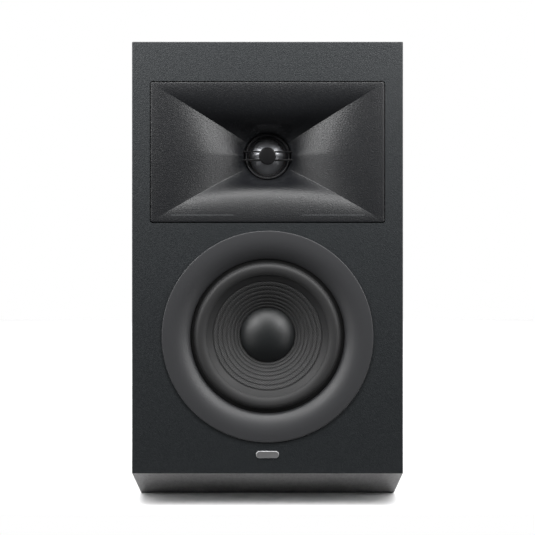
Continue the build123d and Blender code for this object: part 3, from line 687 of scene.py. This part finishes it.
roll_rim = 17.6
roll_land = 14.5
roll_middle = 13.75
roll_end = 13.0
roll_front = plate_back + 0.02
roll_back = plate_back + 0.42
roll_seat = plate_back + 0.5
outline = [(roll_rim, roll_front), (roll_rim, roll_back), (roll_land, roll_back)]
outline += [(roll_middle - 0.55 * math.sin(t), roll_seat - 0.2 * math.cos(t)) for t in (-0.6, 0, 0.6)]
outline += [(roll_end, dome_base), (roll_end, dome_base - dome_skin)]
for t in (0.4, 1.0, 1.57, 2.1, 2.7):
    outline.append((roll_middle - 0.75 * math.cos(t), roll_seat - 0.42 * math.sin(t)))
for wedge, reach in wedges("tweeter_roll", outline, horn_z, 16, 40):
    dress(wedge, roll_cloth, "soft_roll", None, "tweeter_surround")
    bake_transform(wedge)

disc_radius = 6.3
disc_front = throat_depth - 6.1
disc_back = throat_depth - 3.9
disc_crown = 0.35
disc_round = 0.7
disc_bevel = 0.2
round_middle = disc_front + disc_crown + disc_round
outline = bow_line(disc_radius - disc_round, disc_crown, disc_front + disc_crown, 12)[::-1]
for t in (0.4, 0.8, 1.2, 1.57):
    outline.append((disc_radius + disc_round * (math.sin(t) - 1), round_middle - disc_round * math.cos(t)))
outline += [(disc_radius, disc_back - disc_bevel), (disc_radius - disc_bevel, disc_back), (0, disc_back)]
disc = turned("tweeter_bridge_disc", outline, horn_z, 96)
satin_black = Finish("bridge_satin", (0.003, 0.003, 0.0035), 0.42, {"Specular IOR Level": 0.35})
satin_black.feed("Roughness", 0.32 + 0.1 * satin_black.noise(0.8, 3.0))
satin_black.relief(satin_black.noise(0.35, 2.0), 0.012)
dress(disc, satin_black, "bridge_plastic", "cabinet", "tweeter_bridge")

rail_gap = 6.1
rail_places = (-18.6, -8, 8, 18.6)
rail_middle = disc_back - 0.75
rail_half_height = 0.65
rail_half_depth = 0.7
rail_corner = 0.3
section = []
for corner, step in itertools.product(range(4), range(4)):
    turn = math.pi / 2 * (corner + step / 3)
    side_y = 1 if corner in (0, 3) else -1
    side_z = 1 if corner < 2 else -1
    y = side_y * (rail_half_depth - rail_corner) + rail_corner * math.cos(turn)
    z = side_z * (rail_half_height - rail_corner) + rail_corner * math.sin(turn)
    section.append((front_y + rail_middle + y, horn_z + z))
points, faces = [], []
for level in (-rail_gap / 2, rail_gap / 2):
    bar(points, faces, [[(x, y, level + z) for y, z in section] for x in rail_places])
rails = solid("tweeter_bridge_rails", points, faces, 50)
dress(rails, satin_black, "bridge_plastic", "cabinet")

# ---- woofer trim ring ----
# A dished ring with a soft satin skin, pressed over the woofer's frame. It hides the screws, and its face
# curves down to a thin lip beside the surround.
trim_low, trim_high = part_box("woofer_trim_ring")
woofer_z = (trim_low.z + trim_high.z) / 2 / mm
trim_radius = 74.1
trim_flat = 72.0
trim_lip = 54.4
trim_proud = 1.5
trim_dish = 6.6
trim_sweep = 2.6
trim_curl_start = 57.4
trim_curl = 0.35
trim_round = 0.7
trim_foot = 5.5
trim_steps = 48
round_steps = 6


def trim_surface(radius):
    """Depth of the ring's face: it dishes towards the lip, and the lip's edge curls in."""
    share = max(0.0, trim_flat - radius) / (trim_flat - trim_lip)
    curl = max(0.0, trim_curl_start - radius) / (trim_curl_start - trim_lip)
    return trim_dish * share**trim_sweep - trim_proud + trim_curl * curl**4


outline = []
for k in range(trim_steps + 1):
    radius = trim_flat - (trim_flat - trim_lip) * k / trim_steps
    outline.append((radius, trim_surface(radius)))
# The underside stands on two feet, with a hollow between them over the frame and its screws.
outline += [(trim_lip, trim_foot), (57.6, trim_foot), (57.6, 4.9), (62, 2.9), (69.8, 1.0), (69.8, trim_foot)]
outline += [(71.6, trim_foot), (71.6, 0), (trim_radius, 0)]
for k in range(round_steps + 1):
    turn = math.pi / 2 * k / round_steps
    radius = trim_radius - trim_round + trim_round * math.cos(turn)
    outline.append((radius, trim_round - trim_proud - trim_round * math.sin(turn)))
trim = turned("woofer_trim", outline, woofer_z, 288, 50)
soft_touch = Finish("soft_touch", (0.030, 0.0305, 0.0325), 0.42, {"Specular IOR Level": 0.38})
soft_touch.feed("Roughness", 0.39 + 0.07 * soft_touch.noise(3.0, 3.0))
soft_touch.relief(soft_touch.noise(0.5, 2.0), 0.012)
dress(trim, soft_touch, "trim_rubber", "cabinet", "woofer_trim_ring")

# ---- woofer surround ----
# A rolled edge of butyl rubber. Its rim is glued to the frame, its lip lies over the cone's edge, and it
# rolls as the cone moves. The roll is built as two halves that meet at its crown.
roll_outer = 51.4
roll_base = 6.7
roll_crown = 47.9
crown_depth = 1.2
outer_bend = 3.6
inner_bend = 7.0
roll_skin = 0.8
rim_start = roll_outer + 0.3
rim_end = 57.0
underside_end = 45.9
lip_radius = 43.0
cone_rim = 45.0
cone_rim_depth = 2.8
cap_radius = 19.4
cap_edge = 19.5
roll_steps = 40


def cone_depth(radius):
    """Depth of the plain cone under its pressed rings."""
    share = max(0.0, (cone_rim - radius) / (cone_rim - cap_radius))
    return cone_rim_depth + (cap_edge - cone_rim_depth) * share**1.08


def roll_line(start, end, skin):
    """The roll's profile between two radii, as (radius, depth) points."""
    points = []
    for k in range(roll_steps + 1):
        radius = start + (end - start) * k / roll_steps
        bend = outer_bend if radius > roll_crown else inner_bend
        fall = bend - math.sqrt(bend**2 - (radius - roll_crown) ** 2)
        points.append((radius, crown_depth + skin + fall))
    return points


def from_axis(finish):
    """Sideways and upward distance from the woofer's axis."""
    return finish.along("X"), finish.along("Z") - woofer_z


def radial(finish):
    """Radius from the woofer's axis."""
    across, up = from_axis(finish)
    return (across * across + up * up) ** 0.5


butyl = Finish("butyl_rubber", (0.017, 0.017, 0.0175), 0.40, {"Specular IOR Level": 0.38})
# The flat rim past the roll, down in the groove by the trim's lip, is tinted darker as painted shade of that
# groove, and is also made rougher.
painted_groove_shade = butyl.steps(radial(butyl), roll_outer, roll_outer + 1.2)
butyl.tint(painted_groove_shade, (0.004, 0.004, 0.004))
butyl.feed("Roughness", 0.54 + 0.09 * butyl.noise(2.0, 3.0) + 0.5 * painted_groove_shade)
butyl.relief(butyl.noise(0.6, 2.0), 0.012)
outer_half = roll_line(roll_outer, roll_crown, 0) + roll_line(roll_crown, roll_outer, roll_skin)
outer_half += [(rim_start, roll_base + roll_skin), (rim_end, roll_base + roll_skin)]
outer_half += [(rim_end, roll_base), (rim_start, roll_base)]
inner_half = roll_line(roll_crown, lip_radius, 0)
lip_front = inner_half[-1][1]
inner_half += [(lip_radius, cone_depth(lip_radius) - 0.05), (cone_rim + 0.2, cone_rim_depth - 0.2)]
inner_half += roll_line(underside_end, roll_crown, roll_skin)
for name, outline, ends in (
    ("woofer_roll_outer", outer_half, (roll_base, 2 * crown_depth - roll_base)),
    ("woofer_roll_inner", inner_half, (2 * crown_depth - lip_front, lip_front)),
):
    half_roll = turned(name, outline, woofer_z, 256, 50)
    dress(half_roll, butyl, "surround_rubber", None, "woofer_surround")
    first, last = (Vector((0, front_y + depth, woofer_z)) * mm for depth in ends)
    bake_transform(half_roll)

# ---- woofer cone and dust cap ----
# The cone is a black polymer-coated pulp with seven pressed rings and a fine woven face. A smooth domed cap
# of the same black closes its neck, and an aluminium former behind it carries the coil.
ring_radii = [38.4, 35.3, 32.2, 29.2, 26.5, 24.0, 21.8, 19.6]
ring_swell = 0.34
seam_depth = 0.42
seam_half = 0.32
cone_skin = 1.1
former_radius = 12.9
neck_radius = former_radius + 3.6
neck_front = 21.1
neck_depth = 26.0
former_front = neck_depth - 2.2
cone_steps = 190


def ringed_depth(radius):
    """The cone's front: each pressed ring swells forward, and a narrow seam divides it from the next."""
    depth = cone_depth(radius)
    for outer, inner in zip(ring_radii, ring_radii[1:]):
        if inner < radius < outer:
            share = (radius - inner) / (outer - inner)
            depth -= ring_swell * 4 * share * (1 - share)
    seams = [math.exp(-(((radius - seam) / seam_half) ** 2)) for seam in ring_radii[:-1]]
    return depth + seam_depth * sum(seams)


face_line = []
for k in range(cone_steps + 1):
    radius = cone_rim - (cone_rim - neck_radius) * k / cone_steps
    under_cap = radius <= cap_radius - 0.2
    face_line.append((radius, neck_front if under_cap else ringed_depth(radius)))
face_line.append((former_radius, former_front))
back_line = [(r, d + cone_skin) for r, d in face_line[-2::-3]]
cone = turned("woofer_cone_body", face_line + [(former_radius, neck_depth)] + back_line, woofer_z, 256, 60)
woven_pulp = Finish("woven_pulp", (0.017, 0.017, 0.0175), 0.46, {"Specular IOR Level": 0.20})
weave_rim = ring_radii[0]
weft_waves = 90
warp_turn = 5.2
across, up = from_axis(woven_pulp)
from_middle = radial(woven_pulp)
weft = (across.math("ARCTAN2", up, across) * weft_waves).sine()
warp = (from_middle * warp_turn).sine()
inside = woven_pulp.steps(from_middle, weave_rim + 0.2, weave_rim - 0.2)
threads = inside * woven_pulp.steps(weft * warp, -0.3, 0.5)
woven_pulp.tint(threads, (0.060, 0.060, 0.0605))
woven_pulp.feed("Roughness", 0.40 + 0.12 * threads)
woven_pulp.relief(threads + 0.3 * woven_pulp.noise(0.7), 0.22)
dress(cone, woven_pulp, "cone_pulp", "woofer_diaphragm", "woofer_cone")

cap_rise = 7.9
cap_skin = 0.9
cap = turned("woofer_cap", shell_line(cap_radius, cap_rise, cap_edge, cap_skin, 48), woofer_z, 192)
cap_rubber = Finish("cap_rubber", (0.0055, 0.0066, 0.0072), 0.42, {"Specular IOR Level": 0.55})
cap_rubber.feed("Roughness", 0.40 + 0.08 * cap_rubber.noise(2.5, 3.0))
cap_rubber.relief(cap_rubber.noise(0.6), 0.01)
dress(cap, cap_rubber, "cap_rubber", "woofer_diaphragm", "woofer_dust_cap")

# ---- name badge ----
# A blank oval badge of satin aluminium, brushed from side to side. Two pins hold it to the baffle, in the
# middle below the woofer.
badge_metal = Finish("badge_aluminium", (0.62, 0.62, 0.63), 0.40, {"Metallic": 1.0})
brushing = badge_metal.noise(0.5, 3.0, badge_metal.stretched(0.05, 1, 1))
badge_metal.feed("Roughness", 0.34 + 0.12 * brushing)
badge_metal.tint(brushing, (0.54, 0.54, 0.55))
badge_metal.cover("name_badge")

# ---- rear fittings ----
# A flared reflex port and a recessed terminal cup, both moulded in black. Two gold-plated posts stand in the
# cup, each with a collar, a clamp washer and a fluted knob, red for positive and black for negative.
port_plastic = Finish("port_plastic", (0.024, 0.024, 0.026), 0.40)
port_plastic.feed("Roughness", 0.36 + 0.12 * port_plastic.noise(2.0, 3.0))
port_plastic.relief(port_plastic.noise(0.5, 3.0), 0.02)
port_plastic.cover("port_tube")

cup_plastic = Finish("cup_plastic", (0.030, 0.030, 0.032), 0.5)
eroded = cup_plastic.noise(0.7, 3.0)
cup_plastic.feed("Roughness", 0.42 + 0.16 * eroded)
cup_plastic.relief(eroded, 0.05)
cup_plastic.cover("terminal_cup", "post_collars")

gold = Finish("gold_plate", (0.83, 0.60, 0.26), 0.22, {"Metallic": 1.0})
wear = gold.noise(2.0, 4.0)
gold.feed("Roughness", 0.16 + 0.16 * wear)
gold.tint(wear, (0.72, 0.50, 0.20))
gold.cover("positive_post", "negative_post", "positive_clamp_washer", "negative_clamp_washer")

for pole, shade, other in (
    ("positive", (0.45, 0.012, 0.012), (0.36, 0.008, 0.008)),
    ("negative", (0.020, 0.020, 0.021), (0.030, 0.030, 0.031)),
):
    knob_plastic = Finish(f"{pole}_knob_plastic", shade, 0.3, {"Coat Weight": 0.3, "Coat Roughness": 0.2})
    knob_plastic.tint(knob_plastic.noise(4.0, 3.0), other)
    knob_plastic.feed("Roughness", 0.26 + 0.12 * knob_plastic.noise(1.0, 3.0))
    knob_plastic.cover(f"{pole}_knob")

# ---- steel and iron inside ----
# The screws, nuts and soft-iron motor plates are zinc-plated, and the pressed basket is painted black. Both
# motors have ring magnets of sintered ferrite.
zinc = Finish("zinc_plate", (0.56, 0.57, 0.58), 0.32, {"Metallic": 1.0})
spangle = zinc.cells(2.2)
zinc.feed("Roughness", 0.24 + 0.2 * spangle)
zinc.tint(spangle, (0.48, 0.50, 0.53))
zinc.cover(
    "waveguide_screws", "tweeter_screws", "post_nuts", "tweeter_top_plate", "tweeter_yoke",
    "woofer_top_plate", "woofer_yoke", "tweeter_terminals", "crossover_standoffs",
)

black_steel = Finish("black_steel", (0.022, 0.022, 0.023), 0.38)
orange_peel = black_steel.noise(1.5, 3.0)
black_steel.feed("Roughness", 0.3 + 0.16 * orange_peel)
black_steel.relief(orange_peel, 0.03)
black_steel.cover("woofer_basket", "woofer_screws", "terminal_cup_screws")

ferrite = Finish("sintered_ferrite", (0.055, 0.055, 0.058), 0.6)
sinter = ferrite.noise(0.8, 6.0)
ferrite.tint(sinter, (0.085, 0.084, 0.086))
ferrite.relief(sinter, 0.05)
ferrite.cover("woofer_magnet", "tweeter_magnet")

# ---- voice coils, spider and small soft parts ----
# Copper wire wound on thin formers, a resin-dipped cotton spider in round waves, a foam gasket under the
# frame, the tweeter's damped rear chamber, and the board that the woofer's tabs are riveted to.
copper = Finish("enamelled_copper", (0.62, 0.25, 0.10), 0.28, {"Metallic": 1.0, "Coat Weight": 0.5})
wire_rows = (copper.along("Y") * 18).sine()
copper.tint(0.5 + 0.5 * wire_rows, (0.40, 0.14, 0.05))
copper.relief(wire_rows, 0.08)
copper.cover("tweeter_voice_coil", "woofer_voice_coil")

foil = Finish("former_foil", (0.65, 0.65, 0.66), 0.3, {"Metallic": 1.0})
foil.feed("Roughness", 0.22 + 0.2 * foil.noise(3.0, 3.0))
foil.cover("woofer_coil_former")

cotton = Finish("spider_cotton", (0.46, 0.33, 0.14), 0.8, {"Specular IOR Level": 0.3})
knots = cotton.cells(0.6)
cotton.tint(knots, (0.34, 0.23, 0.09))
cotton.relief(knots, 0.12)
spider_depth = 34.0
spider_outer = 47.0
spider_inner = former_radius + 0.1
half_waves = 9
wave_height = 0.9
cloth_thickness = 0.5
wave_steps = 72
wave_line = []
for k in range(wave_steps + 1):
    share = k / wave_steps
    radius = spider_inner + (spider_outer - spider_inner) * share
    wave_line.append((radius, spider_depth - wave_height * (1 - math.cos(math.pi * half_waves * share))))
outline = wave_line + [(r, d + cloth_thickness) for r, d in reversed(wave_line)]
for wedge, reach in wedges("woofer_spider", outline, woofer_z, 12, 60):
    dress(wedge, cotton, "spider_cloth", None, "woofer_spider")
    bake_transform(wedge)

gasket_foam = Finish("gasket_foam", (0.018, 0.018, 0.018), 0.9, {"Specular IOR Level": 0.2})
bubbles = gasket_foam.cells(0.5)
gasket_foam.feed("Roughness", 0.8 + 0.2 * bubbles)
gasket_foam.relief(bubbles, 0.12)
gasket_foam.cover("woofer_gasket")

chamber_plastic = Finish("chamber_plastic", (0.03, 0.03, 0.032), 0.45)
chamber_plastic.feed("Roughness", 0.38 + 0.14 * chamber_plastic.noise(1.2, 3.0))
chamber_plastic.cover("tweeter_rear_chamber")

strip_board = Finish("strip_board", (0.30, 0.16, 0.06), 0.55)
layers = strip_board.noise(0.6, 4.0, strip_board.stretched(0.2, 1, 1))
strip_board.tint(layers, (0.22, 0.11, 0.04))
strip_board.feed("Roughness", 0.45 + 0.2 * layers)
strip_board.cover("woofer_terminal_strip")

# ---- crossover ----
# A small circuit board on spacers over the bottom panel, with two air-cored inductors, two film capacitors
# and two cement resistors. Red and black leads join it to the posts and to both drivers.
board_laminate = Finish("board_laminate", (0.02, 0.10, 0.045), 0.4, {"Coat Weight": 0.4})
tracks = board_laminate.steps(board_laminate.cells(14), 0.42, 0.45)
board_laminate.tint(tracks, (0.035, 0.16, 0.07))
board_laminate.relief(tracks, 0.03)
board_laminate.cover("crossover_board")

windings = Finish("inductor_windings", (0.60, 0.23, 0.09), 0.3, {"Metallic": 1.0, "Coat Weight": 0.5})
strands = (windings.along("Z") * 5.2).sine()
windings.tint(0.5 + 0.5 * strands, (0.36, 0.12, 0.04))
windings.relief(strands, 0.2)
windings.cover("woofer_inductor", "tweeter_inductor")

capacitor_film = Finish("capacitor_film", (0.50, 0.36, 0.05), 0.35, {"Coat Weight": 0.3})
wrap = capacitor_film.noise(3.0, 3.0, capacitor_film.stretched(0.1, 1, 1))
capacitor_film.tint(wrap, (0.40, 0.28, 0.04))
capacitor_film.feed("Roughness", 0.28 + 0.2 * wrap)
capacitor_film.cover("crossover_capacitors")

cement = Finish("resistor_cement", (0.70, 0.68, 0.63), 0.85, {"Specular IOR Level": 0.25})
sand = cement.noise(0.5, 5.0)
cement.tint(sand, (0.56, 0.54, 0.50))
cement.relief(sand, 0.08)
cement.cover("crossover_resistors")

lead_jacket = Finish("lead_jacket", (0.015, 0.015, 0.015), 0.4)
lead_jacket.tint(lead_jacket.along("X") > 0, (0.45, 0.012, 0.012))
lead_jacket.feed("Roughness", 0.34 + 0.14 * lead_jacket.noise(1.5))
lead_jacket.cover("input_leads", "woofer_leads", "tweeter_leads")
